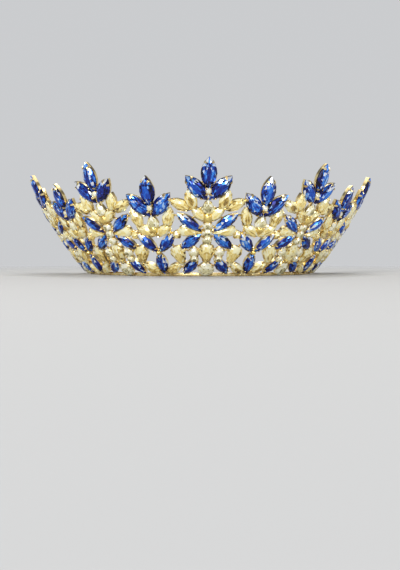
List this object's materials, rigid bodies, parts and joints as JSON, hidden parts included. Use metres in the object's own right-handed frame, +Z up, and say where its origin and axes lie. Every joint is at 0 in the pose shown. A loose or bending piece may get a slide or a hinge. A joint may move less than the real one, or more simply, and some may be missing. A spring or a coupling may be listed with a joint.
{
  "type": "bridal crown",
  "caption": "Open-backed bridal crown: a flared gilt openwork wall of claw-set blue, champagne and clear glass stones, topped with blue trefoils.",
  "frame": {"origin": "on the floor under the base band, in the middle of the crown's width and depth", "axes": "+X towards the wearer's left, +Y towards the open back (the front motif faces -Y), +Z up"},
  "size_m": [0.2102, 0.122, 0.06],
  "materials": {
    "gilt": "polished",
    "blue_stone": "faceted, foil-backed",
    "champagne_stone": "faceted, foil-backed",
    "clear_stone": "faceted, foil-backed"
  },
  "bodies": {
    "root": {"gilt_frame": "gilt", "pendant_stone_front": "champagne_stone", "pendant_stone_left2": "champagne_stone", "pendant_stone_left4": "champagne_stone", "pendant_stone_right2": "champagne_stone", "pendant_stone_right4": "champagne_stone", "tip_stone_front": "blue_stone", "tip_stone_left1": "blue_stone", "tip_stone_left2": "blue_stone", "tip_stone_left3": "blue_stone", "tip_stone_left4": "blue_stone", "tip_stone_left5": "blue_stone", "tip_stone_right1": "blue_stone", "tip_stone_right2": "blue_stone", "tip_stone_right3": "blue_stone", "tip_stone_right4": "blue_stone", "tip_stone_right5": "blue_stone", "wing_stone_front_l": "blue_stone", "wing_stone_front_r": "blue_stone", "wing_stone_left1_l": "blue_stone", "wing_stone_left1_r": "blue_stone", "wing_stone_left2_l": "blue_stone", "wing_stone_left2_r": "blue_stone", "wing_stone_left3_l": "blue_stone", "wing_stone_left3_r": "blue_stone", "wing_stone_left4_l": "blue_stone", "wing_stone_left4_r": "blue_stone", "wing_stone_left5_l": "blue_stone", "wing_stone_left5_r": "blue_stone", "wing_stone_right1_l": "blue_stone", "wing_stone_right1_r": "blue_stone", "wing_stone_right2_l": "blue_stone", "wing_stone_right2_r": "blue_stone", "wing_stone_right3_l": "blue_stone", "wing_stone_right3_r": "blue_stone", "wing_stone_right4_l": "blue_stone", "wing_stone_right4_r": "blue_stone", "wing_stone_right5_l": "blue_stone", "wing_stone_right5_r": "blue_stone"}
  },
  "joints": []
}
